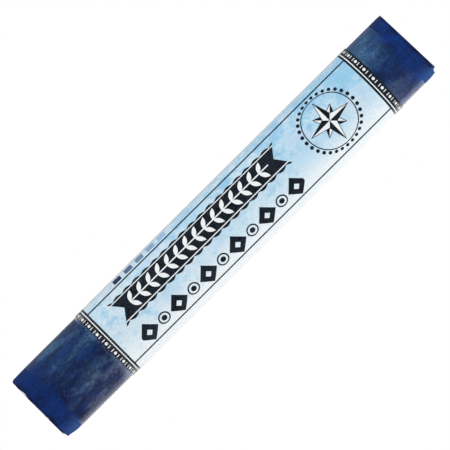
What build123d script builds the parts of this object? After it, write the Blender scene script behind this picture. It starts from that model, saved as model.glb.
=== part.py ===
from build123d import *
import os
from math import cos, degrees, pi, radians, sin, sqrt, tan

# Round soft pastel stick in its wrapper: a printed paper label rolled round the stick, and a
# clear film rolled over both. The stick stands on its foot, with its axis along +Z and the
# front of the label towards -Y. Lengths are in millimetres, angles in degrees.

# Stick of pressed pigment, chalk and binder
stick_length = 71.0
stick_diameter = 11.0
foot_edge = 0.35
head_slant = 2.1
head_lean = 5.0

# Flats rubbed on the +X side of both ends, which run out to nothing along the stick
foot_wear_depth = 0.29
foot_wear_length = 2.2
head_wear_depth = 0.2
head_wear_length = 1.7

# Worn corner of the foot below its flat, and the notch knocked out of the head above its own
foot_corner_width = 1.25
foot_corner_height = 0.34
head_notch_radius = 0.45
head_notch_inset = 0.23
head_notch_sink = 0.1

# Shallow scars that flakes left in the foot. They start at the front rim and run out towards the back
# at this angle. A scar has its place along X as a share of the stick's radius, and its half width and
# depth at the front as shares of the largest one's.
foot_scar_angle = 0.9
foot_scar_half_width = 1.0
foot_scar_depth = 0.2
foot_scar_shares = ((-0.57, 1.0, 1.0), (-0.16, 0.5, 0.45), (0.08, 1.2, 0.6), (0.28, 0.4, 0.8))

# Crumbs lost from the rims. A chip has its place as a share of a turn from +X, and its ball's
# radius and bite as shares of the largest one's.
foot_chip_radius = 1.6
foot_chip_depth = 0.45
foot_chip_shares = (
    (0.01, 1.0, 1.0), (0.09, 0.45, 0.5), (0.14, 0.7, 0.75), (0.24, 0.4, 0.55), (0.29, 0.6, 0.45),
    (0.37, 0.9, 0.6), (0.44, 0.4, 0.5), (0.5, 0.75, 0.8), (0.61, 0.8, 0.65), (0.7, 0.45, 0.6),
    (0.75, 0.35, 0.45), (0.79, 0.65, 0.7), (0.88, 0.55, 0.5), (0.94, 0.4, 0.62),
)
head_chip_radius = 0.6
head_chip_depth = 0.42
head_chip_shares = ((0.0, 1.0, 1.0), (0.13, 0.7, 0.35), (0.34, 0.9, 0.5), (0.58, 0.6, 0.3), (0.8, 0.8, 0.45))

# Bare ends of the stick, and the clear film that shows between each end and the label
foot_bare = 2.65
head_bare = 2.5
foot_window = 9.75
head_window = 4.4

# Wrapper. Both sheets are joined down the back, the film's lap inside the label's.
paper_thickness = 0.09
film_thickness = 0.05
wrap_clearance = 0.02
label_lap = 4.0
film_lap_inset = 0.7
wrap_rise = 0.8
tent_length = 0.36
seam_angle = 90.0
bend_handle_share = 1 / 3

overrun = 5.0

stick_radius = stick_diameter / 2
film_bottom = foot_bare
film_top = stick_length - head_bare
label_bottom = film_bottom + foot_window
label_top = film_top - head_window

# Inner faces of the sheets, and how far each one lifts where it lies on a second layer
on_stick_radius = stick_radius + wrap_clearance
on_label_radius = on_stick_radius + paper_thickness + wrap_clearance
paper_lift = paper_thickness + wrap_clearance
film_lift = film_thickness + wrap_clearance

# Angles that the laps and the rises take up round the stick
full_turn = 360.0
lap_angle = degrees(label_lap / stick_radius)
inset_angle = degrees(film_lap_inset / stick_radius)
rise_angle = degrees(wrap_rise / stick_radius)
label_start = seam_angle - lap_angle / 2
label_end = label_start + lap_angle
film_start = label_start + inset_angle
film_end = label_end - inset_angle


def on_wrap(radius, angle):
    """Point of a sheet's section at this distance from the axis and angle from +X."""
    return Vector(radius, 0).rotate(Axis.Z, angle)


def along_wrap(angle):
    """Direction in which a sheet is wound at this angle."""
    return Vector(0, 1).rotate(Axis.Z, angle)


def sheet_face(lands, offset):
    """One face of a wound sheet: arcs on the lands where it lies flat, and S-bends between them."""
    for start_angle, end_angle, radius in lands:
        CenterArc((0, 0), radius + offset, start_angle, end_angle - start_angle)
    for (_, leave_angle, leave_radius), (land_angle, _, land_radius) in zip(lands, lands[1:]):
        leave = on_wrap(leave_radius + offset, leave_angle)
        land = on_wrap(land_radius + offset, land_angle)
        handle = (land - leave).length * bend_handle_share
        leave_handle = leave + along_wrap(leave_angle) * handle
        land_handle = land - along_wrap(land_angle) * handle
        Bezier(leave, leave_handle, land_handle, land)


def wound_sheet(lands, thickness):
    """Closed outline of a sheet wound about the axis. A land is two angles and the inner radius there."""
    sheet_face(lands, 0)
    sheet_face(lands, thickness)
    first_angle, _, first_radius = lands[0]
    _, last_angle, last_radius = lands[-1]
    for angle, radius in ((first_angle, first_radius), (last_angle, last_radius)):
        Line(on_wrap(radius, angle), on_wrap(radius + thickness, angle))


def label_lands():
    """The label goes once round the stick and climbs over its own first edge at the seam."""
    return [
        (label_start, label_start + full_turn - rise_angle, on_stick_radius),
        (label_start + full_turn, label_end + full_turn, on_stick_radius + paper_lift),
    ]


def film_lands(radius, lift):
    """The film goes once round, rides up by lift over the label's lap, and laps itself there."""
    raised = radius + lift
    return [
        (film_start, label_end, raised),
        (label_end + rise_angle, label_start + full_turn - 2 * rise_angle, radius),
        (label_start + full_turn - rise_angle, film_start + full_turn - rise_angle, raised),
        (film_start + full_turn, film_end + full_turn, raised + film_lift),
    ]


def chip_place(rim_height, outward, turn_share, ball_radius, bite):
    """Centre of a ball that bites this deep into a rim of the stick, square to its corner."""
    stand_off = (ball_radius - bite) / sqrt(2)
    corner = Vector(stick_radius + stand_off, 0, rim_height + outward * stand_off)
    return corner.rotate(Axis.Z, full_turn * turn_share)


def head_height(x, y):
    """Height of the slanting head above the foot, over this point of the foot."""
    return stick_length + x * tan(radians(head_slant)) + y * tan(radians(head_lean))


# Pastel stick: a round bar, cut out of square at the head, with worn and crumbled ends
with BuildPart() as pastel_stick:
    with BuildSketch():
        Circle(stick_radius)
    extrude(amount=stick_length + overrun)
    fillet(pastel_stick.edges().group_by(Axis.Z)[0], radius=foot_edge)

    head_plane = Plane((0, 0, stick_length)).rotated((head_lean, -head_slant, 0))
    split(bisect_by=head_plane, keep=Keep.BOTTOM)

    foot_wear_plane = Plane(
        origin=(stick_radius, 0, foot_wear_length),
        x_dir=(0, 1, 0),
        z_dir=(foot_wear_length, 0, -foot_wear_depth),
    )
    split(bisect_by=foot_wear_plane, keep=Keep.BOTTOM)
    head_wear_plane = Plane(
        origin=(stick_radius, 0, stick_length - head_wear_length),
        x_dir=(0, 1, 0),
        z_dir=(head_wear_length, 0, head_wear_depth),
    )
    split(bisect_by=head_wear_plane, keep=Keep.BOTTOM)
    foot_corner_plane = Plane(
        origin=(stick_radius - foot_corner_width, 0, 0),
        x_dir=(0, 1, 0),
        z_dir=(foot_corner_height, 0, -foot_corner_width),
    )
    split(bisect_by=foot_corner_plane, keep=Keep.BOTTOM)

    notch_axis = Pos(stick_radius - head_notch_inset, 0, -head_notch_sink) * Rot(90, 0, 0)
    with Locations(head_plane.location * notch_axis):
        Cylinder(head_notch_radius, stick_diameter, mode=Mode.SUBTRACT)
    for across_share, width_share, depth_share in foot_scar_shares:
        half_width = foot_scar_half_width * width_share
        depth = foot_scar_depth * depth_share
        scar_radius = (half_width**2 + depth**2) / (2 * depth)
        scar_front = Pos(stick_radius * across_share, -stick_radius, depth - scar_radius)
        with Locations(scar_front * Rot(90 - foot_scar_angle, 0, 0)):
            Cylinder(scar_radius, 2 * stick_diameter, mode=Mode.SUBTRACT)

    for turn_share, radius_share, depth_share in foot_chip_shares:
        ball_radius = foot_chip_radius * radius_share
        with Locations(chip_place(0, -1, turn_share, ball_radius, foot_chip_depth * depth_share)):
            Sphere(ball_radius, mode=Mode.SUBTRACT)
    for turn_share, radius_share, depth_share in head_chip_shares:
        ball_radius = head_chip_radius * radius_share
        turn = 2 * pi * turn_share
        rim_height = head_height(stick_radius * cos(turn), stick_radius * sin(turn))
        with Locations(chip_place(rim_height, 1, turn_share, ball_radius, head_chip_depth * depth_share)):
            Sphere(ball_radius, mode=Mode.SUBTRACT)

# Paper label: one strip rolled round the stick, glued where it laps over itself
with BuildPart() as paper_label:
    with BuildSketch(Plane.XY.offset(label_bottom)):
        with BuildLine():
            wound_sheet(label_lands(), paper_thickness)
        make_face()
    extrude(amount=label_top - label_bottom)

# Clear film: rolled over the label, and down onto the stick past each end of it
with BuildPart() as clear_film:
    lower_tent = label_bottom - tent_length
    upper_tent = label_top + tent_length
    for bottom, top in ((film_bottom, lower_tent), (upper_tent, film_top)):
        with BuildSketch(Plane.XY.offset(bottom)):
            with BuildLine():
                wound_sheet(film_lands(on_stick_radius, 0), film_thickness)
            make_face()
        extrude(amount=top - bottom)
    with BuildSketch(Plane.XY.offset(label_bottom)):
        with BuildLine():
            wound_sheet(film_lands(on_label_radius, paper_lift), film_thickness)
        make_face()
    extrude(amount=label_top - label_bottom)
    for at_stick, at_label in ((lower_tent, label_bottom), (upper_tent, label_top)):
        with BuildSketch(Plane.XY.offset(at_stick)):
            with BuildLine():
                wound_sheet(film_lands(on_stick_radius, 0), film_thickness)
            make_face()
        with BuildSketch(Plane.XY.offset(at_label)):
            with BuildLine():
                wound_sheet(film_lands(on_label_radius, paper_lift), film_thickness)
            make_face()
        loft(ruled=True)

os.makedirs("parts", exist_ok=True)
pastel_stick.part.label = "pastel_stick"
paper_label.part.label = "paper_label"
clear_film.part.label = "clear_film"
for piece in (pastel_stick, paper_label, clear_film):
    export_step(piece.part, f"parts/{piece.part.label}.step")
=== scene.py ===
import math

import bpy
import numpy as np
from mathutils import Matrix, Vector, noise
from mathutils.bvhtree import BVHTree


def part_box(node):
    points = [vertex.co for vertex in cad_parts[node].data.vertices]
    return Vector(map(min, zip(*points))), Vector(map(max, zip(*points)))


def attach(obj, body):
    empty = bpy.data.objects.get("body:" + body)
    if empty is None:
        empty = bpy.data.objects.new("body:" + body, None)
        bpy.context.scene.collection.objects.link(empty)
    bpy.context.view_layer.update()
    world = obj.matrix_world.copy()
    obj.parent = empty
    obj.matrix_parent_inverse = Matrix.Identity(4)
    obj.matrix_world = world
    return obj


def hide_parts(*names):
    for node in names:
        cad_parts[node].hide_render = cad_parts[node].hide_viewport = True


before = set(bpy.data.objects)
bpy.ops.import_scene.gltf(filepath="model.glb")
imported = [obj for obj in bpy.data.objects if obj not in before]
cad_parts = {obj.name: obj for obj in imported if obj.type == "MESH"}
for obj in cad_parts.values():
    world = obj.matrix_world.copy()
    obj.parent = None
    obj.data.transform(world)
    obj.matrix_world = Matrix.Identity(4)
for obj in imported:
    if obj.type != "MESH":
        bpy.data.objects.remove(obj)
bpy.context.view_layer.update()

# Pastel stick
# A round bar of pigment, chalk and a little gum, pressed through a die, cut to length and dried.
# Handling has rubbed a flat on one side of both ends, and crumbs are missing from the rims.
MM = 0.001
FULL_TURN = 2 * math.pi


def linear(code):
    """Linear colour, with alpha 1, of an sRGB hex code."""
    channels = [int(code[i:i + 2], 16) / 255 for i in (1, 3, 5)]
    return [c / 12.92 if c <= 0.04045 else ((c + 0.055) / 1.055) ** 2.4 for c in channels] + [1.0]


def add(tree, kind, *values, sockets=None, **settings):
    """Adds a node. Settings are its properties, values fill its first sockets in order and sockets fills
    others by name. A node or a socket is linked, and anything else is set."""
    node = tree.nodes.new(kind)
    for name, value in settings.items():
        setattr(node, name, value)
    shown = [socket for socket in node.inputs if socket.enabled]
    filled = list(zip(shown, values))
    filled += [(next(s for s in shown if s.name == name), value) for name, value in (sockets or {}).items()]
    for socket, value in filled:
        if isinstance(value, bpy.types.Node):
            value = next(output for output in value.outputs if output.enabled)
        if isinstance(value, bpy.types.NodeSocket):
            tree.links.new(value, socket)
        else:
            socket.default_value = value
    return node


def new_material(name):
    """Material with an empty node tree."""
    material = bpy.data.materials.new(name)
    material.use_nodes = True
    material.node_tree.nodes.clear()
    return material


stick_low, stick_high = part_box("pastel_stick")
film_low, film_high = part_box("clear_film")
label_low, label_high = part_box("paper_label")
stick_radius = -stick_low.x
head_slant = math.tan(math.radians(2.1))
head_lean = math.tan(math.radians(5.0))
stick_length = stick_high.z - stick_radius * math.hypot(head_slant, head_lean)

# Pressed soft pastel: matte and chalky, with rubbed and dusty patches, faint lines along the stick from
# the die, and a grain that is drawn coarser than the real one, so that it shows. The rubbed side at +X is
# paler, partly with dust and partly with painted light on the side that the light falls on. Both rims are
# darker with painted shade, and the pigment that the film's glue has wetted is darker, most of all at the
# foot.
pastel_deep = linear("#0f2450")
pastel_blue = linear("#112c66")
pastel_royal = linear("#11347f")
pastel_dusty = linear("#1f4378")
pastel_rubbed_and_lit = linear("#2f5290")
pastel_wetted = linear("#111a40")
pastel_rim_shade = linear("#0c1040")
pastel_dust = linear("#8fa8cc")
patch_size = 2.4 * MM
bloom_size = 1.7 * MM
bloom_start = (0.05, 0.02, 0.01)
royal_most = 0.6
royal_when_wet = 0.3
die_line_gap = 0.6 * MM
die_line_length = 8.0 * MM
dusty_most = 0.35
rubbed_and_lit_from = 0.55 * stick_radius
rubbed_and_lit_most = 0.85
rubbed_and_lit_when_wet = 0.25
wetted_wide = 1.7 * MM
wetted_long = 4.5 * MM
wetted_start = (0.01, 0.03, 0.02)
wetted_ragged = 5.0 * MM
wetted_fade = 1.6 * MM
wetted_edge = 0.8 * MM
wetted_side_reach = 1.6 * MM
wetted_side_more = 0.3
wetted_at_head = 0.55
wetted_least, wetted_most = 0.15, 0.85
rim_shade_band = 0.5 * MM
rim_shade_ragged = 2.0 * MM
rim_shade_width = 0.8 * MM
rim_shade_most = 0.85
grain_size = 0.28 * MM
grain_relief = 0.03 * MM
grain_dark, grain_light = 0.72, 1.28
polished, powdery = 0.65, 0.9

# Noise lies mostly between 0.3 and 0.7, and so do the limits of its ramps. A smooth ramp eases in and out.
smooth = {"interpolation_type": "SMOOTHSTEP"}
pastel = new_material("pressed soft pastel")
nodes = pastel.node_tree
place = add(nodes, "ShaderNodeTexCoord").outputs["Object"]
split_place = add(nodes, "ShaderNodeSeparateXYZ", place)
across, height = split_place.outputs["X"], split_place.outputs["Z"]
patches = add(nodes, "ShaderNodeTexNoise", place,
              sockets={"Scale": 1 / patch_size, "Detail": 4.0, "Roughness": 0.6, "Distortion": 0.4})
blooms = add(nodes, "ShaderNodeTexNoise", add(nodes, "ShaderNodeMapping", place, bloom_start),
             sockets={"Scale": 1 / bloom_size, "Detail": 4.0, "Roughness": 0.6, "Distortion": 0.4})
die_place = add(nodes, "ShaderNodeMapping", place,
                sockets={"Scale": (1 / die_line_gap, 1 / die_line_gap, 1 / die_line_length)})
die_lines = add(nodes, "ShaderNodeTexNoise", die_place,
                sockets={"Scale": 1.0, "Detail": 3.0, "Roughness": 0.6})
wetted_place = add(nodes, "ShaderNodeMapping", place, wetted_start,
                   sockets={"Scale": (1 / wetted_wide, 1 / wetted_wide, 1 / wetted_long)})
wetting = add(nodes, "ShaderNodeTexNoise", wetted_place,
              sockets={"Scale": 1.0, "Detail": 5.0, "Roughness": 0.65, "Distortion": 0.1})
grain = add(nodes, "ShaderNodeTexNoise", place,
            sockets={"Scale": 1 / grain_size, "Detail": 3.0, "Roughness": 0.7})
from_foot = add(nodes, "ShaderNodeMath", height, film_low.z, operation="SUBTRACT")
from_head = add(nodes, "ShaderNodeMath", film_high.z, height, operation="SUBTRACT")
in_film = add(nodes, "ShaderNodeMath", from_foot, from_head, operation="MINIMUM")
headward = add(nodes, "ShaderNodeMapRange", height, label_low.z, label_high.z)
footward = add(nodes, "ShaderNodeMath", 1.0, headward, operation="SUBTRACT")
rubbed_half = add(nodes, "ShaderNodeMapRange", across, 0.0, stick_radius / 2)

# Wetted pigment starts raggedly inside the film's ends, and nearer to them on the rubbed half of the foot.
side_soak = add(nodes, "ShaderNodeMath", rubbed_half, footward, operation="MULTIPLY")
soaked = add(nodes, "ShaderNodeMath", patches, wetted_ragged, in_film, operation="MULTIPLY_ADD")
soaked = add(nodes, "ShaderNodeMath", side_soak, wetted_side_reach, soaked, operation="MULTIPLY_ADD")
soaked = add(nodes, "ShaderNodeMapRange", soaked, wetted_ragged / 2, wetted_ragged / 2 + wetted_fade)
under_film = add(nodes, "ShaderNodeMapRange", in_film, 0.0, wetted_edge)
wetted_level = add(nodes, "ShaderNodeMapRange", headward, 0.0, 1.0, 1.0, wetted_at_head)
for share in (under_film, wetted_level):
    soaked = add(nodes, "ShaderNodeMath", soaked, share, operation="MULTIPLY")
wetted_share = add(nodes, "ShaderNodeMapRange", wetting, 0.42, 0.62, wetted_least, wetted_most, **smooth)
wetted_share = add(nodes, "ShaderNodeMath", rubbed_half, wetted_side_more, wetted_share,
                   operation="MULTIPLY_ADD")
wetted_share = add(nodes, "ShaderNodeMath", wetted_share, soaked, operation="MULTIPLY")

# Shares of the blue patches, the dusty lines, and the royal blooms and rubbed side, which wetting weakens
blue_share = add(nodes, "ShaderNodeMapRange", patches, 0.38, 0.62, **smooth)
royal_share = add(nodes, "ShaderNodeMapRange", blooms, 0.42, 0.68, 0.0, royal_most, **smooth)
royal_left = add(nodes, "ShaderNodeMapRange", soaked, 0.0, 1.0, 1.0, royal_when_wet)
royal_share = add(nodes, "ShaderNodeMath", royal_share, royal_left, operation="MULTIPLY")
dusty_share = add(nodes, "ShaderNodeMapRange", die_lines, 0.5, 0.85, 0.0, dusty_most)
# Paler rubbed side at +X: partly dust, partly painted light where the light falls
rubbed_and_lit_share = add(nodes, "ShaderNodeMapRange", across, rubbed_and_lit_from, stick_radius, 0.0, rubbed_and_lit_most, **smooth)
rubbed_and_lit_left = add(nodes, "ShaderNodeMapRange", soaked, 0.0, 1.0, 1.0, rubbed_and_lit_when_wet)
rubbed_and_lit_share = add(nodes, "ShaderNodeMath", rubbed_and_lit_share, rubbed_and_lit_left, operation="MULTIPLY")

# Painted shade: a ragged dark band along both rims, on the side and on the outer part of the end faces
below_head = add(nodes, "ShaderNodeVectorMath", place, (head_slant, head_lean, -1.0), operation="DOT_PRODUCT")
below_head = add(nodes, "ShaderNodeMath", below_head, stick_length, operation="ADD")
from_end = add(nodes, "ShaderNodeMath", height, below_head, operation="MINIMUM")
from_end = add(nodes, "ShaderNodeMath", blooms, rim_shade_ragged, from_end, operation="MULTIPLY_ADD")
shade_at_end = add(nodes, "ShaderNodeMapRange", from_end, rim_shade_ragged / 2, rim_shade_ragged / 2 + rim_shade_band, rim_shade_most, 0.0)
off_axis = add(nodes, "ShaderNodeVectorMath", place, (1.0, 1.0, 0.0), operation="MULTIPLY")
off_axis = add(nodes, "ShaderNodeVectorMath", off_axis, operation="LENGTH")
shade_at_side = add(nodes, "ShaderNodeMapRange", off_axis, stick_radius - rim_shade_width, stick_radius - rim_shade_width / 2)
rim_shade_share = add(nodes, "ShaderNodeMath", shade_at_end, shade_at_side, operation="MULTIPLY")

# Coats of colour, one over the other, and the light and shade of the grain
body = pastel_deep
for share, colour in (
    (blue_share, pastel_blue), (royal_share, pastel_royal), (dusty_share, pastel_dusty),
    (rubbed_and_lit_share, pastel_rubbed_and_lit), (wetted_share, pastel_wetted), (rim_shade_share, pastel_rim_shade),
):
    body = add(nodes, "ShaderNodeMix", share, data_type="RGBA", sockets={"A": body, "B": colour})
grain_shade = add(nodes, "ShaderNodeMapRange", grain, 0.3, 0.7, grain_dark, grain_light)
body = add(nodes, "ShaderNodeVectorMath", body, grain_shade, operation="MULTIPLY")

# Haze between the stick and the film: lengthwise clouds with fine specks, where air or rubbed-off pigment
# is caught. It is cool on one side and greyer on the rubbed side. Along the cool edge a painted reflection
# is added in the cool colour, most of all at the head. The haze is thinner where the film lies tight: at
# its two ends, along the middle of the front and on the rubbed half of the head.
haze_and_reflection_cool = linear("#6a9fc4")
haze_grey = linear("#8694b0")
haze_wide = 2.2 * MM
haze_long = 5.5 * MM
haze_start = (2.2, 9.4, 3.1)
haze_least, haze_most = 0.04, 0.225
tight_ragged = 4.0 * MM
tight_from = 2.4 * MM
tight_to = 5.0 * MM
tight_half_width = 2.4 * MM
tight_left, loose_left = 0.3, 1.1
tight_head_left = 0.6
speck_size = 0.45 * MM
speck_thin, speck_thick = 0.55, 1.45
reflection_from = -0.35 * stick_radius
foot_edge_reflection, head_edge_reflection = 0.0232, 0.1508
grey_from, grey_to = 0.1 * stick_radius, 0.65 * stick_radius
haze_place = add(nodes, "ShaderNodeMapping", place, haze_start,
                 sockets={"Scale": (1 / haze_wide, 1 / haze_wide, 1 / haze_long)})
cloud = add(nodes, "ShaderNodeTexNoise", haze_place,
            sockets={"Scale": 1.0, "Detail": 5.0, "Roughness": 0.64})
haze_and_reflection = add(nodes, "ShaderNodeMapRange", cloud, 0.44, 0.6, haze_least, haze_most, **smooth)
end_loose = add(nodes, "ShaderNodeMath", cloud, tight_ragged, in_film, operation="MULTIPLY_ADD")
end_loose = add(nodes, "ShaderNodeMapRange", end_loose, tight_from, tight_to)
aside = add(nodes, "ShaderNodeMath", across, operation="ABSOLUTE")
side_loose = add(nodes, "ShaderNodeMapRange", aside, 0.0, tight_half_width, tight_left, loose_left, **smooth)
head_loose = add(nodes, "ShaderNodeMath", headward, rubbed_half, operation="MULTIPLY")
head_loose = add(nodes, "ShaderNodeMapRange", head_loose, 0.0, 1.0, 1.0, tight_head_left)
specks = add(nodes, "ShaderNodeTexNoise", place,
             sockets={"Scale": 1 / speck_size, "Detail": 2.0, "Roughness": 0.6})
speck_share = add(nodes, "ShaderNodeMapRange", specks, 0.35, 0.65, speck_thin, speck_thick)
for share in (end_loose, side_loose, head_loose, speck_share):
    haze_and_reflection = add(nodes, "ShaderNodeMath", haze_and_reflection, share, operation="MULTIPLY")
# Painted reflection along the -X edge, weak at the foot and strongest at the head
reflection_at_edge = add(nodes, "ShaderNodeMapRange", across, reflection_from, -stick_radius)
edge_reflection = add(nodes, "ShaderNodeMapRange", headward, 0.0, 1.0, foot_edge_reflection, head_edge_reflection)
haze_and_reflection = add(nodes, "ShaderNodeMath", reflection_at_edge, edge_reflection, haze_and_reflection, operation="MULTIPLY_ADD")
grey_share = add(nodes, "ShaderNodeMapRange", across, grey_from, grey_to)
haze_and_reflection_colour = add(nodes, "ShaderNodeMix", grey_share, data_type="RGBA",
                  sockets={"A": haze_and_reflection_cool, "B": haze_grey})

# Tents: paler strips along the label's two ends, where the film comes down to the stick. They are wider and
# much paler on the rubbed side, and paler below the label than above it.
tent_length = 0.36 * MM
tent_side_length = 1.6 * MM
tent_side_from, tent_side_to = 0.25 * stick_radius, 0.9 * stick_radius
tent_side_more = 13.0
foot_tent_haze, head_tent_haze = 0.05, 0.011
below_label = add(nodes, "ShaderNodeMath", label_low.z, height, operation="SUBTRACT")
above_label = add(nodes, "ShaderNodeMath", height, label_high.z, operation="SUBTRACT")
off_label = add(nodes, "ShaderNodeMath", below_label, above_label, operation="MAXIMUM")
stand_off = add(nodes, "ShaderNodeMapRange", across, tent_side_from, tent_side_to,
                tent_length, tent_side_length)
on_tent = add(nodes, "ShaderNodeMapRange", off_label, 0.0, stand_off, 1.0, 0.0)
tent_haze = add(nodes, "ShaderNodeMapRange", headward, 0.0, 1.0, foot_tent_haze, head_tent_haze)
tent_side = add(nodes, "ShaderNodeMapRange", across, tent_side_from, tent_side_to, 1.0, tent_side_more)
tent_haze = add(nodes, "ShaderNodeMath", tent_haze, tent_side, operation="MULTIPLY")
haze_and_reflection = add(nodes, "ShaderNodeMath", on_tent, tent_haze, haze_and_reflection, operation="MULTIPLY_ADD")
covered = add(nodes, "ShaderNodeMath", in_film, 0.0, operation="GREATER_THAN")
haze_and_reflection = add(nodes, "ShaderNodeMath", haze_and_reflection, covered, operation="MULTIPLY")
body = add(nodes, "ShaderNodeMix", haze_and_reflection, data_type="RGBA", sockets={"A": body, "B": haze_and_reflection_colour})

roughness = add(nodes, "ShaderNodeMapRange", patches, 0.3, 0.7, polished, powdery)
chalk_bump = add(nodes, "ShaderNodeBump",
                 sockets={"Strength": 0.5, "Distance": grain_relief, "Height": grain})
shader = add(nodes, "ShaderNodeBsdfPrincipled",
             sockets={"Base Color": body, "Roughness": roughness, "Normal": chalk_bump,
                      "Specular IOR Level": 0.08, "Sheen Weight": 0.06, "Sheen Roughness": 0.5,
                      "Sheen Tint": pastel_dust})
add(nodes, "ShaderNodeOutputMaterial", shader)

# Rings of points from the middle of the foot, out to its rim, up the side and in to the middle of the
# head. They are close together where the stick shows and wide apart under the label.
around = 256
rim_margin = 1.2 * MM
fine_step = 0.1 * MM
cap_step = 0.3 * MM
film_step = 0.2 * MM
hidden_step = 4.0 * MM
head_zone = 66.0 * MM


def stretch(start, end, step):
    """Evenly spaced places from start up to end, without the start."""
    return list(np.linspace(start, end, max(1, round(abs(end - start) / step)) + 1)[1:])


cap_radii = stretch(0, stick_radius - rim_margin, cap_step)
cap_radii += stretch(stick_radius - rim_margin, stick_radius, fine_step)
side_heights = stretch(0, film_low.z, fine_step)
side_heights += stretch(film_low.z, label_low.z, film_step)
side_heights += stretch(label_low.z, label_high.z, hidden_step)
side_heights += stretch(label_high.z, film_high.z, film_step)
side_heights += stretch(film_high.z, stick_length, fine_step)
rings = [(radius, 0.0) for radius in cap_radii]
rings += [(stick_radius, height) for height in side_heights]
rings += [(radius, stick_length) for radius in reversed(cap_radii[:-1])]

turn = np.arange(around) * FULL_TURN / around
points = [Vector((0, 0, 0))]
rim_gaps = [stick_radius]
for radius, height in rings:
    lift = max(0.0, (height - head_zone) / (stick_length - head_zone))
    for angle in turn:
        x, y = radius * math.cos(angle), radius * math.sin(angle)
        points.append(Vector((x, y, height + lift * (x * head_slant + y * head_lean))))
        rim_gaps.append(max(stick_radius - radius, min(height, stick_length - height)))
points.append(Vector((0, 0, stick_length)))
rim_gaps.append(stick_radius)

last_ring = len(rings) - 1
faces = [(0, 1 + (j + 1) % around, 1 + j) for j in range(around)]
for i in range(last_ring):
    for j in range(around):
        low, next_low = 1 + i * around + j, 1 + i * around + (j + 1) % around
        faces.append((low, next_low, next_low + around, low + around))
top = len(points) - 1
faces += [(top, 1 + last_ring * around + j, 1 + last_ring * around + (j + 1) % around) for j in range(around)]

# The flats, scars and chips come from the solid: near the ends, a point that lies well clear of it is
# moved along the line from the heart of that end, until it lies on it.
heart_depth = 6.0 * MM
snap_from = 0.03 * MM
snap_to = 0.08 * MM
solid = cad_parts["pastel_stick"].data
skin = BVHTree.FromPolygons([v.co for v in solid.vertices], [p.vertices for p in solid.polygons])
for i, point in enumerate(points):
    if not film_low.z < point.z < film_high.z:
        heart = Vector((0, 0, heart_depth if point.z < heart_depth else stick_length - heart_depth))
        on_solid = skin.ray_cast(heart, point - heart)[0]
        gap = (on_solid - point).length
        share = min(1.0, max(0.0, (gap - snap_from) / (snap_to - snap_from)))
        points[i] = point.lerp(on_solid, share)

mesh = bpy.data.meshes.new("pastel_stick_chalk")
mesh.from_pydata(points, [], faces)

# Chalk is never quite smooth: shallow hollows all over, and ragged crumbs at the rims.
# Each noise has the fade, the step and the number of its octaves.
hollow_size = 1.6 * MM
hollow_depth = 0.03 * MM
hollow_octaves = (1.0, 2.0, 4)
crumb_size = 0.8 * MM
crumb_depth = 0.24 * MM
crumb_reach = 0.4 * MM
crumb_octaves = (0.8, 2.1, 3)
for vertex, normal, gap in zip(mesh.vertices, mesh.vertex_normals, rim_gaps):
    hollow = max(0.0, 0.5 + 0.5 * noise.fractal(vertex.co / hollow_size, *hollow_octaves))
    crumb = max(0.0, 0.5 + 0.5 * noise.fractal(vertex.co / crumb_size, *crumb_octaves))
    depth = hollow_depth * hollow + crumb_depth * crumb ** 2 * math.exp(-gap / crumb_reach)
    vertex.co = vertex.co - normal.vector * depth
mesh.materials.append(pastel)
mesh.shade_smooth()
pastel_stick = bpy.data.objects.new("pastel_stick_chalk", mesh)
bpy.context.scene.collection.objects.link(pastel_stick)
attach(pastel_stick, "root")
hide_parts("pastel_stick")

# Paper label
# One strip of thin printed paper, rolled once round the stick and glued where it laps over itself down
# the back. It is printed with a pale wash, black end bands, two rules and plain ornaments: a ribbon with
# a sprig, a row of lozenges and a star between the rules, and a scale of tints above them.
paper_thickness = 0.09 * MM
wrap_clearance = 0.02 * MM
label_lap = 4.0 * MM
wrap_rise = 0.8 * MM
weld_gap = 0.001 * MM
sharp_angle = math.radians(40)
seam_angle = math.radians(90)
front_angle = math.radians(270)
lap_angle = label_lap / stick_radius
rise_angle = wrap_rise / stick_radius
label_start = seam_angle - lap_angle / 2
label_length = label_high.z - label_low.z
label_columns, label_rows = 400, 16


def new_tree(name, sizes):
    """Geometry node tree with these named sizes and the material as its inputs, and their sockets."""
    tree = bpy.data.node_groups.new(name, "GeometryNodeTree")
    for size in sizes:
        kind = "NodeSocketMaterial" if size == "Material" else "NodeSocketFloat"
        tree.interface.new_socket(size, in_out="INPUT", socket_type=kind)
    tree.interface.new_socket("Geometry", in_out="OUTPUT", socket_type="NodeSocketGeometry")
    return tree, add(tree, "NodeGroupInput").outputs


def unwound(tree, given):
    """Starts a tree: the whole angle that a flat sheet takes, the sheet's Y, the angle at each point, and
    how far the point has climbed from the first layer onto the lap."""
    span = add(tree, "ShaderNodeMath", given["Lap angle"], FULL_TURN, operation="ADD")
    flat = add(tree, "ShaderNodeSeparateXYZ", add(tree, "GeometryNodeInputPosition"))
    wound = add(tree, "ShaderNodeMath", span, 0.5, flat.outputs["X"], operation="MULTIPLY_ADD")
    angle = add(tree, "ShaderNodeMath", wound, given["Start angle"], operation="ADD")
    climb_from = add(tree, "ShaderNodeMath", FULL_TURN, given["Rise angle"], operation="SUBTRACT")
    climb = add(tree, "ShaderNodeMapRange", wound, climb_from, FULL_TURN, **smooth)
    return span, flat.outputs["Y"], angle, climb


def polar(tree, angle, distance):
    """X and Y of a point at this angle and distance from a centre."""
    return [add(tree, "ShaderNodeMath", distance, add(tree, "ShaderNodeMath", angle, operation=part),
                operation="MULTIPLY") for part in ("COSINE", "SINE")]


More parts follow.
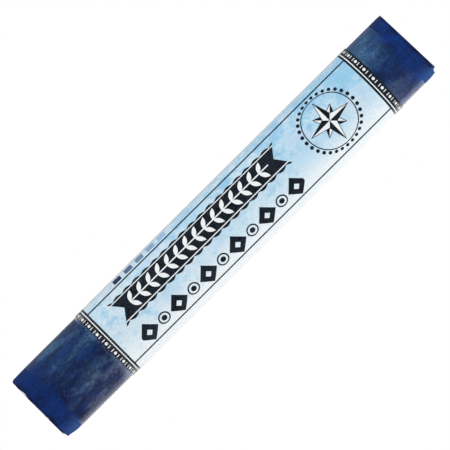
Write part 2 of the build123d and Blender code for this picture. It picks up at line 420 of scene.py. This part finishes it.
def wind(tree, given, sheet, angle, radius, height):
    """Ends a tree: rolls a flat sheet round the axis, gives it its thickness outwards and its material."""
    x, y = polar(tree, angle, radius)
    rolled = add(tree, "GeometryNodeSetPosition", sheet,
                 sockets={"Position": add(tree, "ShaderNodeCombineXYZ", x, y, height)})
    spot = add(tree, "ShaderNodeSeparateXYZ", add(tree, "GeometryNodeInputPosition"))
    outward = add(tree, "ShaderNodeCombineXYZ", spot.outputs["X"], spot.outputs["Y"])
    outward = add(tree, "ShaderNodeVectorMath", outward, operation="NORMALIZE")
    outer = add(tree, "GeometryNodeExtrudeMesh", rolled, mode="FACES",
                sockets={"Offset": outward, "Offset Scale": given["Thickness"], "Individual": False})
    inner = add(tree, "GeometryNodeFlipFaces", rolled)
    shell = add(tree, "GeometryNodeJoinGeometry", outer)
    tree.links.new(inner.outputs[0], shell.inputs[0])
    shell = add(tree, "GeometryNodeMergeByDistance", shell, sockets={"Distance": weld_gap})
    shell = add(tree, "GeometryNodeSetShadeSmooth", shell)
    shell = add(tree, "GeometryNodeRealizeInstances", shell)
    shell = add(tree, "GeometryNodeSetMaterial", shell, sockets={"Material": given["Material"]})
    add(tree, "NodeGroupOutput", shell)


def rolled_piece(name, tree, sizes):
    """Plain mesh object that a tree makes with these sizes."""
    piece = bpy.data.objects.new(name, bpy.data.meshes.new(name + "_start"))
    bpy.context.scene.collection.objects.link(piece)
    modifier = piece.modifiers.new("rolled", "NODES")
    modifier.node_group = tree
    for socket in tree.interface.items_tree:
        if socket.in_out == "INPUT":
            modifier[socket.identifier] = sizes[socket.name]
    depsgraph = bpy.context.evaluated_depsgraph_get()
    made = bpy.data.meshes.new_from_object(piece.evaluated_get(depsgraph), depsgraph=depsgraph)
    piece.modifiers.clear()
    piece.data = made
    made.name = name
    made.set_sharp_from_angle(angle=sharp_angle)
    return piece


# Printed paper: a dull sheet with a pale watercolour wash and black, white and blue inks, of which the
# black is a little glossier. Places on the print are in millimetres, along the label from its lower edge
# and round it from the middle of the front.
wash_pale = linear("#d6e9f4")
wash_sky = linear("#c2e1f4")
wash_strong = linear("#93caea")
wash_lilac = linear("#c0d2e8")
wash_faded_and_lit = linear("#f1f6f8")
ink_black = linear("#121a24")
ink_worn = linear("#27313d")
ink_white = linear("#f3f7f9")
tint_dark = linear("#142a5c")
tint_pale = linear("#9fc4e6")

label_mm = label_length / MM
print_shift = 0.08
band_width = 0.98
white_line = 0.15
black_line = 0.32
bead_row = 0.42
bead_pitch = 1.75
bead_radius = 0.22
reel_offset = 0.55
reel_half_width = 0.06
reel_half_height = 0.26
rule_round = 5.2
rule_half_width = 0.155
tint_count = 5
tint_pitch = 2.1
tint_side = 1.35
tint_first = 6.4
tint_round = -6.35
leaf_pitch = 1.75
leaf_count = 15
sprig_low = 6.6
sprig_round = -1.75
leaf_slant = math.radians(52)
leaf_length = 1.65
leaf_half_width = 0.32
stem_half_width = 0.09
ribbon_margin = 2.4
ribbon_half_width = 1.75
ribbon_notch = 1.3
scallop_height = 0.32
piping_round = 1.6
piping_half_width = 0.07
row_pitch = 5.6
row_round = 3.15
row_first = 5.6
row_count = 6
row_margin = 1.4
lozenge_half_width = 1.6
lozenge_half_height = 1.7
lozenge_wall = 1.088
dot_radius = 0.42
dot_ring_radius = 0.82
dot_ring_half_width = 0.11
star_along = 43.0
star_round = -0.1
star_ring = 3.95
star_ring_half_width = 0.08
star_bead_ring = 4.4
star_bead_count = 30
star_bead_radius = 0.27
star_long = 3.6
star_short = 2.4
star_waist = 1.05
star_core = 0.9
wear_most = 0.8
paper_relief = 0.01 * MM
paper_dull, ink_dull = 0.55, 0.4

label_paper = new_material("printed label paper")
nodes = label_paper.node_tree
spot = add(nodes, "ShaderNodeAttribute", attribute_name="print_mm").outputs["Vector"]
split_spot = add(nodes, "ShaderNodeSeparateXYZ", spot)
along, round_way = split_spot.outputs["X"], split_spot.outputs["Y"]

# Wash: broad blots, stronger and lilac runs, watercolour flecks and a fine mottle. It is stronger towards
# the head in the upper half of the front and fades out above, and painted light whitens it below.
blot_size = 7.0
run_size = 3.2
run_start = (40, 7, 3)
fleck_size = 1.1
fleck_start = (9, 31, 5)
fleck_most = 0.16
mottle_size = 0.35
mottle_dark, mottle_light = 0.91, 1.06
bluer_most = 0.1
strong_most = 0.85
strong_round = (-3.5, 1.5)
strong_along = 24.0
strong_foot, strong_head = 0.06, 0.26
lilac_most = 0.55
painted_light_round, painted_light_most = (0.3, 5.0), 0.85
above_round, above_most = (-6.0, -7.4), 0.4
blots = add(nodes, "ShaderNodeTexNoise", spot,
            sockets={"Scale": 1 / blot_size, "Detail": 5.0, "Roughness": 0.6, "Distortion": 0.8})
runs = add(nodes, "ShaderNodeTexNoise", add(nodes, "ShaderNodeMapping", spot, run_start),
           sockets={"Scale": 1 / run_size, "Detail": 5.0, "Roughness": 0.65, "Distortion": 0.5})
flecks = add(nodes, "ShaderNodeTexNoise", add(nodes, "ShaderNodeMapping", spot, fleck_start),
             sockets={"Scale": 1 / fleck_size, "Detail": 4.0, "Roughness": 0.7})
mottle = add(nodes, "ShaderNodeTexNoise", spot,
             sockets={"Scale": 1 / mottle_size, "Detail": 3.0, "Roughness": 0.7})
fleck_shift = add(nodes, "ShaderNodeMapRange", flecks, 0.25, 0.75, -fleck_most, fleck_most)
bluer = add(nodes, "ShaderNodeMapRange", along, 0.0, label_mm, -bluer_most, bluer_most)
for shift in (fleck_shift, blots):
    bluer = add(nodes, "ShaderNodeMath", bluer, shift, operation="ADD")
sky_share = add(nodes, "ShaderNodeMapRange", bluer, 0.34, 0.62, **smooth)
upper = add(nodes, "ShaderNodeMapRange", round_way, *strong_round, 1.0, 0.0, **smooth)
head_lift = add(nodes, "ShaderNodeMapRange", along, strong_along, label_mm, strong_foot, strong_head)
stronger = add(nodes, "ShaderNodeMath", upper, head_lift, fleck_shift, operation="MULTIPLY_ADD")
stronger = add(nodes, "ShaderNodeMath", stronger, runs, operation="ADD")
strong_share = add(nodes, "ShaderNodeMapRange", stronger, 0.5, 0.78, 0.0, strong_most, **smooth)
lilac_share = add(nodes, "ShaderNodeMapRange", runs, 0.46, 0.3, 0.0, lilac_most, **smooth)
# Painted light: the wash goes nearly white below, towards the lit +X side
painted_light_below = add(nodes, "ShaderNodeMapRange", round_way, *painted_light_round, 0.0, painted_light_most, **smooth)
fade_above = add(nodes, "ShaderNodeMapRange", round_way, *above_round, 0.0, above_most, **smooth)
fade_and_light_share = add(nodes, "ShaderNodeMath", painted_light_below, fade_above, operation="ADD")
wash = wash_pale
for share, colour in (
    (sky_share, wash_sky), (strong_share, wash_strong), (lilac_share, wash_lilac), (fade_and_light_share, wash_faded_and_lit),
):
    wash = add(nodes, "ShaderNodeMix", share, data_type="RGBA", sockets={"A": wash, "B": colour})
mottle_shade = add(nodes, "ShaderNodeMapRange", mottle, 0.3, 0.7, mottle_dark, mottle_light)
wash = add(nodes, "ShaderNodeVectorMath", wash, mottle_shade, operation="MULTIPLY")

# End bands: black, with a white and a black line inside each. Distances are from the nearer end of the
# print, which sits a little low on the paper.
from_low = add(nodes, "ShaderNodeMath", along, print_shift, operation="ADD")
from_high = add(nodes, "ShaderNodeMath", label_mm, from_low, operation="SUBTRACT")
from_end = add(nodes, "ShaderNodeMath", from_low, from_high, operation="MINIMUM")
band = add(nodes, "ShaderNodeMath", from_end, band_width, operation="LESS_THAN")
white_end = band_width + white_line
past_white = add(nodes, "ShaderNodeMath", from_end, white_end, operation="LESS_THAN")
past_black = add(nodes, "ShaderNodeMath", from_end, white_end + black_line, operation="LESS_THAN")
line_white = add(nodes, "ShaderNodeMath", past_white, band, operation="SUBTRACT")
line_black = add(nodes, "ShaderNodeMath", past_black, past_white, operation="SUBTRACT")
black_shapes = [band, line_black]

# Beads and reels, white, round each band
bead_x = add(nodes, "ShaderNodeMath", from_end, bead_row, operation="SUBTRACT")
bead_y = add(nodes, "ShaderNodeMath", round_way, bead_pitch / 2, operation="PINGPONG")
bead_gap = add(nodes, "ShaderNodeVectorMath", add(nodes, "ShaderNodeCombineXYZ", bead_x, bead_y),
               operation="LENGTH")
bead = add(nodes, "ShaderNodeMath", bead_gap, bead_radius, operation="LESS_THAN")
reel_x = add(nodes, "ShaderNodeMath", bead_x, 0.0, reel_half_height, operation="COMPARE")
reel_y = add(nodes, "ShaderNodeMath", bead_y, reel_offset, reel_half_width, operation="COMPARE")
reel = add(nodes, "ShaderNodeMath", reel_x, reel_y, operation="MULTIPLY")
white_shapes = [line_white, bead, reel]

# Thin rules along the label, above and below the ornaments
off_middle = add(nodes, "ShaderNodeMath", round_way, operation="ABSOLUTE")
rule = add(nodes, "ShaderNodeMath", off_middle, rule_round, rule_half_width, operation="COMPARE")
black_shapes.append(rule)

# Black ribbon with scalloped edges, one scallop to a pair of leaves, and a notch in each end
sprig_half = leaf_count * leaf_pitch / 2
sprig_x = add(nodes, "ShaderNodeMath", along, sprig_low, operation="SUBTRACT")
sprig_y = add(nodes, "ShaderNodeMath", round_way, sprig_round, operation="SUBTRACT")
sprig_y = add(nodes, "ShaderNodeMath", sprig_y, operation="ABSOLUTE")
scallop = add(nodes, "ShaderNodeMath", sprig_x, math.pi / leaf_pitch, operation="MULTIPLY")
scallop = add(nodes, "ShaderNodeMath", scallop, operation="SINE")
scallop = add(nodes, "ShaderNodeMath", scallop, operation="ABSOLUTE")
ribbon_edge = add(nodes, "ShaderNodeMath", scallop, scallop_height, ribbon_half_width,
                  operation="MULTIPLY_ADD")
ribbon = add(nodes, "ShaderNodeMath", sprig_y, ribbon_edge, operation="LESS_THAN")
from_middle = add(nodes, "ShaderNodeMath", sprig_x, sprig_half, operation="SUBTRACT")
from_middle = add(nodes, "ShaderNodeMath", from_middle, operation="ABSOLUTE")
tail = add(nodes, "ShaderNodeMath", sprig_y, -ribbon_notch / ribbon_half_width, from_middle,
           operation="MULTIPLY_ADD")
tail_end = sprig_half + ribbon_margin - ribbon_notch
in_tail = add(nodes, "ShaderNodeMath", tail, tail_end, operation="LESS_THAN")
ribbon = add(nodes, "ShaderNodeMath", ribbon, in_tail, operation="MULTIPLY")
black_shapes.append(ribbon)
piping = add(nodes, "ShaderNodeMath", sprig_y, piping_round, piping_half_width, operation="COMPARE")
piping = add(nodes, "ShaderNodeMath", piping, in_tail, operation="MULTIPLY")
white_shapes.append(piping)

# White sprig on the ribbon: a stem with pairs of pointed leaves that slant forwards. The edge of a leaf
# is a parabola along it.
sprig_cell = add(nodes, "ShaderNodeMath", sprig_x, leaf_pitch, 0.0, operation="WRAP")
lengthwise = math.cos(leaf_slant) / leaf_length
crosswise = math.sin(leaf_slant) / leaf_length
leaf_run = add(nodes, "ShaderNodeMath", sprig_cell, lengthwise, operation="MULTIPLY")
leaf_run = add(nodes, "ShaderNodeMath", sprig_y, crosswise, leaf_run, operation="MULTIPLY_ADD")
leaf_off = add(nodes, "ShaderNodeMath", sprig_cell, -crosswise, operation="MULTIPLY")
leaf_off = add(nodes, "ShaderNodeMath", sprig_y, lengthwise, leaf_off, operation="MULTIPLY_ADD")
leaf_off = add(nodes, "ShaderNodeMath", leaf_off, operation="ABSOLUTE")
leaf_rest = add(nodes, "ShaderNodeMath", 1.0, leaf_run, operation="SUBTRACT")
leaf_half = add(nodes, "ShaderNodeMath", leaf_run, leaf_rest, operation="MULTIPLY")
leaf_half = add(nodes, "ShaderNodeMath", leaf_half, 4 * leaf_half_width / leaf_length, operation="MULTIPLY")
leaf = add(nodes, "ShaderNodeMath", leaf_off, leaf_half, operation="LESS_THAN")
stem = add(nodes, "ShaderNodeMath", sprig_y, stem_half_width, operation="LESS_THAN")
sprig = add(nodes, "ShaderNodeMath", leaf, stem, operation="MAXIMUM")
in_sprig = add(nodes, "ShaderNodeMath", sprig_x, sprig_half, sprig_half, operation="COMPARE")
sprig = add(nodes, "ShaderNodeMath", sprig, in_sprig, operation="MULTIPLY")
white_shapes.append(sprig)

# Row of bold lozenges, each with an open middle, and ringed dots between them
row_x = add(nodes, "ShaderNodeMath", along, row_first, operation="SUBTRACT")
row_cell = add(nodes, "ShaderNodeMath", row_x, row_pitch / 2, operation="PINGPONG")
row_y = add(nodes, "ShaderNodeMath", round_way, row_round, operation="SUBTRACT")
row_y = add(nodes, "ShaderNodeMath", row_y, operation="ABSOLUTE")
slope = add(nodes, "ShaderNodeMath", row_y, lozenge_half_width / lozenge_half_height, row_cell,
            operation="MULTIPLY_ADD")
lozenge = add(nodes, "ShaderNodeMath", slope, lozenge_half_width - lozenge_wall / 2, lozenge_wall / 2,
              operation="COMPARE")
from_lozenge = add(nodes, "ShaderNodeMath", row_pitch / 2, row_cell, operation="SUBTRACT")
dot_gap = add(nodes, "ShaderNodeVectorMath", add(nodes, "ShaderNodeCombineXYZ", from_lozenge, row_y),
              operation="LENGTH")
dot = add(nodes, "ShaderNodeMath", dot_gap, dot_radius, operation="LESS_THAN")
dot_ring = add(nodes, "ShaderNodeMath", dot_gap, dot_ring_radius, dot_ring_half_width, operation="COMPARE")
row = add(nodes, "ShaderNodeMath", dot, dot_ring, operation="MAXIMUM")
row = add(nodes, "ShaderNodeMath", row, lozenge, operation="MAXIMUM")
row_half = (row_count - 1) * row_pitch / 2
row_span = add(nodes, "ShaderNodeMath", row_x, row_half, row_half + row_margin, operation="COMPARE")
row = add(nodes, "ShaderNodeMath", row, row_span, operation="MULTIPLY")
black_shapes.append(row)

# Eight-pointed star in a thin ring and a ring of beads, with each point half black and half white
from_star = add(nodes, "ShaderNodeVectorMath", spot, (star_along, star_round, 0.0), operation="SUBTRACT")
star_split = add(nodes, "ShaderNodeSeparateXYZ", from_star)
star_out = add(nodes, "ShaderNodeVectorMath", from_star, operation="LENGTH")
star_turn = add(nodes, "ShaderNodeMath", star_split.outputs["Y"], star_split.outputs["X"],
                operation="ARCTAN2")
ring = add(nodes, "ShaderNodeMath", star_out, star_ring, star_ring_half_width, operation="COMPARE")
black_shapes.append(ring)
bead_turn = add(nodes, "ShaderNodeMath", star_turn, math.pi / star_bead_count, operation="PINGPONG")
bead_x, bead_y = polar(nodes, bead_turn, star_out)
bead_x = add(nodes, "ShaderNodeMath", bead_x, star_bead_ring, operation="SUBTRACT")
bead_gap = add(nodes, "ShaderNodeVectorMath", add(nodes, "ShaderNodeCombineXYZ", bead_x, bead_y),
               operation="LENGTH")
bead = add(nodes, "ShaderNodeMath", bead_gap, star_bead_radius, operation="LESS_THAN")
black_shapes.append(bead)
waist = star_waist / math.sqrt(2)
star_white = 0.0
for reach, start in ((star_short, math.pi / 4), (star_long, 0.0)):
    shifted = add(nodes, "ShaderNodeMath", star_turn, start, operation="ADD")
    fold = add(nodes, "ShaderNodeMath", shifted, math.pi / 4, operation="PINGPONG")
    fold_x, fold_y = polar(nodes, fold, star_out)
    edge = add(nodes, "ShaderNodeMath", fold_y, (reach - waist) / waist, fold_x, operation="MULTIPLY_ADD")
    point = add(nodes, "ShaderNodeMath", edge, reach, operation="LESS_THAN")
    wrapped = add(nodes, "ShaderNodeMath", shifted, math.pi / 2, 0.0, operation="WRAP")
    dark_half = add(nodes, "ShaderNodeMath", wrapped, math.pi / 4, operation="LESS_THAN")
    core = add(nodes, "ShaderNodeMath", edge, reach * star_core, operation="LESS_THAN")
    pale_half = add(nodes, "ShaderNodeMath", 1.0, dark_half, operation="SUBTRACT")
    pale_half = add(nodes, "ShaderNodeMath", pale_half, core, operation="MULTIPLY")
    outside = add(nodes, "ShaderNodeMath", 1.0, point, operation="SUBTRACT")
    black_shapes.append(point)
    star_white = add(nodes, "ShaderNodeMath", star_white, outside, operation="MULTIPLY")
    star_white = add(nodes, "ShaderNodeMath", star_white, pale_half, operation="MAXIMUM")
white_shapes.append(star_white)

# Tint scale: a row of squares from dark to pale above the upper rule
tint_x = add(nodes, "ShaderNodeMath", along, tint_first, operation="SUBTRACT")
tint_step = add(nodes, "ShaderNodeMath", tint_x, tint_pitch, operation="DIVIDE")
tint_number = add(nodes, "ShaderNodeMath", tint_step, operation="FLOOR")
tint_cell = add(nodes, "ShaderNodeMath", tint_step, operation="FRACT")
tint_in = add(nodes, "ShaderNodeMath", tint_cell, 0.5, tint_side / tint_pitch / 2, operation="COMPARE")
tint_row = add(nodes, "ShaderNodeMath", round_way, tint_round, tint_side / 2, operation="COMPARE")
tint_span = add(nodes, "ShaderNodeMath", tint_number, (tint_count - 1) / 2, tint_count / 2,
                operation="COMPARE")
tint = add(nodes, "ShaderNodeMath", tint_in, tint_row, operation="MULTIPLY")
tint = add(nodes, "ShaderNodeMath", tint, tint_span, operation="MULTIPLY")
tint_share = add(nodes, "ShaderNodeMath", tint_number, tint_count - 1.0, operation="DIVIDE")
tint_colour = add(nodes, "ShaderNodeMix", tint_share, data_type="RGBA",
                  sockets={"A": tint_dark, "B": tint_pale})

# Inks over the wash: worn black, then white, then the tints
black, white = 0.0, 0.0
for shape in black_shapes:
    black = add(nodes, "ShaderNodeMath", black, shape, operation="MAXIMUM")
for shape in white_shapes:
    white = add(nodes, "ShaderNodeMath", white, shape, operation="MAXIMUM")
ink_wear = add(nodes, "ShaderNodeMapRange", runs, 0.35, 0.75, 0.0, wear_most)
ink = add(nodes, "ShaderNodeMix", ink_wear, data_type="RGBA", sockets={"A": ink_black, "B": ink_worn})
printed = wash
for share, colour in ((black, ink), (white, ink_white), (tint, tint_colour)):
    printed = add(nodes, "ShaderNodeMix", share, data_type="RGBA", sockets={"A": printed, "B": colour})
paper_bump = add(nodes, "ShaderNodeBump",
                 sockets={"Strength": 0.15, "Distance": paper_relief, "Height": mottle})
roughness = add(nodes, "ShaderNodeMapRange", black, 0.0, 1.0, paper_dull, ink_dull)
shader = add(nodes, "ShaderNodeBsdfPrincipled",
             sockets={"Base Color": printed, "Roughness": roughness, "Normal": paper_bump,
                      "Specular IOR Level": 0.1})
add(nodes, "ShaderNodeOutputMaterial", shader)

label_sizes = {
    "Stick radius": stick_radius, "Clearance": wrap_clearance, "Thickness": paper_thickness,
    "Lap angle": lap_angle, "Rise angle": rise_angle, "Start angle": label_start, "Front angle": front_angle,
    "Bottom": label_low.z, "Length": label_length, "Material": label_paper,
}
tree, given = new_tree("rolled label", label_sizes)
span, flat_y, angle, climb = unwound(tree, given)
sheet = add(tree, "GeometryNodeMeshGrid", span, given["Length"], label_columns, label_rows)
above = add(tree, "ShaderNodeMath", given["Length"], 0.5, flat_y, operation="MULTIPLY_ADD")
height = add(tree, "ShaderNodeMath", above, given["Bottom"], operation="ADD")
layer = add(tree, "ShaderNodeMath", given["Thickness"], given["Clearance"], operation="ADD")
base = add(tree, "ShaderNodeMath", given["Stick radius"], given["Clearance"], operation="ADD")
radius = add(tree, "ShaderNodeMath", climb, layer, base, operation="MULTIPLY_ADD")
round_way = add(tree, "ShaderNodeMath", angle, given["Front angle"], operation="SUBTRACT")
round_way = add(tree, "ShaderNodeMath", round_way, given["Stick radius"], operation="MULTIPLY")
print_place = add(tree, "ShaderNodeVectorMath", add(tree, "ShaderNodeCombineXYZ", above, round_way),
                  operation="SCALE", sockets={"Scale": 1 / MM})
sheet = add(tree, "GeometryNodeStoreNamedAttribute", sheet.outputs["Mesh"], data_type="FLOAT_VECTOR",
            sockets={"Name": "print_mm", "Value": print_place})
wind(tree, given, sheet, angle, radius, height)
paper_label = rolled_piece("paper_label_printed", tree, label_sizes)
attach(paper_label, "root")
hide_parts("paper_label")

# Clear film
# Thin clear film rolled over the label and down onto the stick past both ends of it, and lapped on
# itself over the label's seam. It steps over the label's edges and lies a little loose on the stick.
film_thickness = 0.05 * MM
film_lap_inset = 0.7 * MM
film_start = label_start + film_lap_inset / stick_radius
film_lap_angle = lap_angle - 2 * film_lap_inset / stick_radius
film_columns = 360
pocket_size = 1.7 * MM
pocket_depth = 0.014 * MM
pocket_from, pocket_to = 0.45, 0.8

# Polypropylene film: clear and glossy. It mirrors very little seen square on, and much more at its edges.
mirror_square, mirror_edge = 0.006, 0.5
mirror_power = 4.5
film_roughness = 0.05
clear_film_plastic = new_material("clear polypropylene film")
nodes = clear_film_plastic.node_tree
facing = add(nodes, "ShaderNodeLayerWeight").outputs["Facing"]
grazing = add(nodes, "ShaderNodeMath", facing, mirror_power, operation="POWER")
mirror_share = add(nodes, "ShaderNodeMapRange", grazing, 0.0, 1.0, mirror_square, mirror_edge)
clear = add(nodes, "ShaderNodeBsdfTransparent")
glossy = add(nodes, "ShaderNodeBsdfGlossy", linear("#ffffff"), film_roughness)
surface = add(nodes, "ShaderNodeMixShader", mirror_share, clear, glossy)
add(nodes, "ShaderNodeOutputMaterial", surface)

film_sizes = {
    "Stick radius": stick_radius, "Clearance": wrap_clearance, "Thickness": film_thickness,
    "Paper thickness": paper_thickness, "Lap angle": film_lap_angle, "Rise angle": rise_angle,
    "Start angle": film_start, "Label start": label_start, "Label end": label_start + lap_angle,
    "Label bottom": label_low.z, "Label top": label_high.z, "Tent": tent_length,
    "Bottom": film_low.z, "Length": film_high.z - film_low.z,
    "Pocket size": pocket_size, "Pocket depth": pocket_depth, "Material": clear_film_plastic,
}
tree, given = new_tree("rolled film", film_sizes)
span, flat_y, angle, climb = unwound(tree, given)
tent_foot = add(tree, "ShaderNodeMath", given["Label bottom"], given["Tent"], operation="SUBTRACT")
tent_head = add(tree, "ShaderNodeMath", given["Label top"], given["Tent"], operation="ADD")
top = add(tree, "ShaderNodeMath", given["Bottom"], given["Length"], operation="ADD")

# Rows of the sheet: close together on the stick and on the tents, and wide apart over the label
stops = (given["Bottom"], tent_foot, given["Label bottom"], given["Label top"], tent_head, top)
rows_between = (62, 4, 12, 4, 28)
rows = sum(rows_between)
sheet = add(tree, "GeometryNodeMeshGrid", span, float(rows), film_columns, rows + 1).outputs["Mesh"]
row = add(tree, "ShaderNodeMath", flat_y, rows / 2, operation="ADD")
height = given["Bottom"]
first_row = 0
for stop, next_stop, count in zip(stops, stops[1:], rows_between):
    gap = add(tree, "ShaderNodeMath", next_stop, stop, operation="SUBTRACT")
    climbed = add(tree, "ShaderNodeMapRange", row, first_row, first_row + count, 0.0, gap)
    height = add(tree, "ShaderNodeMath", height, climbed, operation="ADD")
    first_row += count

# On the label: nought on the stick, one on the label, with a tent at each of its ends
over_foot = add(tree, "ShaderNodeMapRange", height, tent_foot, given["Label bottom"])
over_head = add(tree, "ShaderNodeMapRange", height, given["Label top"], tent_head, 1.0, 0.0)
on_label = add(tree, "ShaderNodeMath", over_foot, over_head, operation="MULTIPLY")

# On the label's lap: one on both layers of paper, with a rise before the lap and a fall after it
down_to = add(tree, "ShaderNodeMath", given["Label end"], given["Rise angle"], operation="ADD")
leaving = add(tree, "ShaderNodeMapRange", angle, given["Label end"], down_to, 1.0, 0.0, **smooth)
seam_again = add(tree, "ShaderNodeMath", given["Label start"], FULL_TURN, operation="ADD")
up_to = add(tree, "ShaderNodeMath", seam_again, given["Rise angle"], operation="SUBTRACT")
up_from = add(tree, "ShaderNodeMath", up_to, given["Rise angle"], operation="SUBTRACT")
coming = add(tree, "ShaderNodeMapRange", angle, up_from, up_to, **smooth)
on_lap = add(tree, "ShaderNodeMath", leaving, coming, operation="MAXIMUM")
layers = add(tree, "ShaderNodeMath", on_lap, 1.0, operation="ADD")
layers = add(tree, "ShaderNodeMath", layers, on_label, operation="MULTIPLY")

# Radius: the stick, the paper under the film, the film's own lap, and air pockets where it is loose
paper_lift = add(tree, "ShaderNodeMath", given["Paper thickness"], given["Clearance"], operation="ADD")
film_lift = add(tree, "ShaderNodeMath", given["Thickness"], given["Clearance"], operation="ADD")
radius = add(tree, "ShaderNodeMath", given["Stick radius"], given["Clearance"], operation="ADD")
radius = add(tree, "ShaderNodeMath", layers, paper_lift, radius, operation="MULTIPLY_ADD")
radius = add(tree, "ShaderNodeMath", climb, film_lift, radius, operation="MULTIPLY_ADD")
pocket_x, pocket_y = polar(tree, angle, given["Stick radius"])
pocket_place = add(tree, "ShaderNodeCombineXYZ", pocket_x, pocket_y, height)
pocket_scale = add(tree, "ShaderNodeMath", 1.0, given["Pocket size"], operation="DIVIDE")
pocket = add(tree, "ShaderNodeTexNoise", pocket_place, pocket_scale)
pocket = add(tree, "ShaderNodeMapRange", pocket, pocket_from, pocket_to, 0.0, given["Pocket depth"], **smooth)
from_foot = add(tree, "ShaderNodeMath", height, given["Bottom"], operation="SUBTRACT")
from_head = add(tree, "ShaderNodeMath", top, height, operation="SUBTRACT")
from_edge = add(tree, "ShaderNodeMath", from_foot, from_head, operation="MINIMUM")
loose = add(tree, "ShaderNodeMapRange", from_edge, 0.0, given["Pocket size"], **smooth)
off_label = add(tree, "ShaderNodeMath", 1.0, on_label, operation="SUBTRACT")
loose = add(tree, "ShaderNodeMath", loose, off_label, operation="MULTIPLY")
radius = add(tree, "ShaderNodeMath", pocket, loose, radius, operation="MULTIPLY_ADD")
wind(tree, given, sheet, angle, radius, height)
clear_film = rolled_piece("clear_film_wrap", tree, film_sizes)
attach(clear_film, "root")
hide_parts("clear_film")

# Floor, light and camera
# A white floor in a white studio, with a soft lamp on either side. The film mirrors a dark front, dim
# walls and a white panel behind on the right. The camera looks along +Y with a long lens, rolled so that
# the stick runs up to the right.
floor_half = 0.12
floor_glow = 0.45
floor_mesh = bpy.data.meshes.new("floor")
floor_mesh.from_pydata([(-floor_half, -floor_half, 0), (floor_half, -floor_half, 0),
                        (floor_half, floor_half, 0), (-floor_half, floor_half, 0)], [], [(0, 1, 2, 3)])
floor = bpy.data.objects.new("floor", floor_mesh)
bpy.context.scene.collection.objects.link(floor)

# White paper: dull, and brightened where the camera or a mirror sees it, so that it comes out white
floor_white = new_material("white paper floor")
nodes = floor_white.node_tree
rays = add(nodes, "ShaderNodeLightPath").outputs
seen = add(nodes, "ShaderNodeMath", rays["Is Camera Ray"], rays["Is Glossy Ray"], operation="MAXIMUM")
seen = add(nodes, "ShaderNodeMath", seen, rays["Is Transmission Ray"], operation="MAXIMUM")
lit = add(nodes, "ShaderNodeBsdfDiffuse", sockets={"Color": linear("#e8e8e8")})
glow = add(nodes, "ShaderNodeEmission", linear("#ffffff"),
           add(nodes, "ShaderNodeMath", seen, floor_glow, operation="MULTIPLY"))
add(nodes, "ShaderNodeOutputMaterial", add(nodes, "ShaderNodeAddShader", lit, glow))
floor_mesh.materials.append(floor_white)

# Studio: white behind the stick, an even soft light on it, and a front, walls and a panel for the film
soft_light = 0.95
front_y, walls_y = -0.85, -0.1
front_level, wall_level = 0.03, 0.2
panel_way = (0.4, 0.917, 0.0)
panel_edge, panel_full = 0.76, 0.8
panel_low, panel_high = -0.01, 0.085
panel_dim, panel_bright = 0.62, 0.88
world = bpy.data.worlds.new("white studio")
bpy.context.scene.world = world
world.use_nodes = True
nodes = world.node_tree
nodes.nodes.clear()
rays = add(nodes, "ShaderNodeLightPath").outputs
way = add(nodes, "ShaderNodeTexCoord").outputs["Generated"]
split_way = add(nodes, "ShaderNodeSeparateXYZ", way)
from_front, upward = split_way.outputs["Y"], split_way.outputs["Z"]
walls = add(nodes, "ShaderNodeMapRange", from_front, front_y, walls_y, front_level, wall_level, **smooth)
towards_panel = add(nodes, "ShaderNodeVectorMath", way, panel_way, operation="DOT_PRODUCT")
panel = add(nodes, "ShaderNodeMapRange", towards_panel, panel_edge, panel_full, **smooth)
panel_level = add(nodes, "ShaderNodeMapRange", upward, panel_low, panel_high, panel_dim, panel_bright)
mirrored = add(nodes, "ShaderNodeMath", panel, panel_level, walls, operation="MULTIPLY_ADD")
bent = add(nodes, "ShaderNodeMath", rays["Is Glossy Ray"], rays["Is Transmission Ray"], operation="MAXIMUM")
level = add(nodes, "ShaderNodeMix", bent, data_type="FLOAT", sockets={"A": soft_light, "B": mirrored})
level = add(nodes, "ShaderNodeMix", rays["Is Camera Ray"], data_type="FLOAT", sockets={"A": level, "B": 1.0})
add(nodes, "ShaderNodeOutputWorld", add(nodes, "ShaderNodeBackground", linear("#ffffff"), level))

lamp_side = 0.3
middle = Vector((0, 0, stick_length / 2))
for name, stand, power in (
    ("left lamp", Vector((-0.4, -0.25, 0.1)), 0.3), ("right lamp", Vector((0.45, -0.05, 0.08)), 0.42),
):
    lamp = bpy.data.lights.new(name, "AREA")
    lamp.shape = "SQUARE"
    lamp.size = lamp_side
    lamp.energy = power
    holder = bpy.data.objects.new(name, lamp)
    holder.location = stand
    holder.rotation_euler = (middle - stand).to_track_quat("-Z", "Y").to_euler()
    holder.visible_glossy = False
    bpy.context.scene.collection.objects.link(holder)

picture_pixels = 450
pixels_per_mm = 7.345
camera_distance = 0.68
look_up = math.radians(2.16)
axis_slope = math.radians(44.84)
aim = Vector((-0.08 * MM, 0, 35.61 * MM))
view = Vector((0, math.cos(look_up), math.sin(look_up)))
stick_up = Vector((0, -math.sin(look_up), math.cos(look_up)))
stick_side = Vector((1, 0, 0))
picture_right = stick_up * math.cos(axis_slope) + stick_side * math.sin(axis_slope)
picture_up = stick_up * math.sin(axis_slope) - stick_side * math.cos(axis_slope)
camera_data = bpy.data.cameras.new("camera")
camera_data.lens = camera_data.sensor_width * camera_distance / (picture_pixels / pixels_per_mm * MM)
camera = bpy.data.objects.new("camera", camera_data)
turned = Matrix((picture_right, picture_up, -view)).transposed().to_4x4()
camera.matrix_world = Matrix.Translation(aim - view * camera_distance) @ turned
bpy.context.scene.collection.objects.link(camera)
bpy.context.scene.camera = camera
bpy.context.scene.view_settings.view_transform = "Standard"
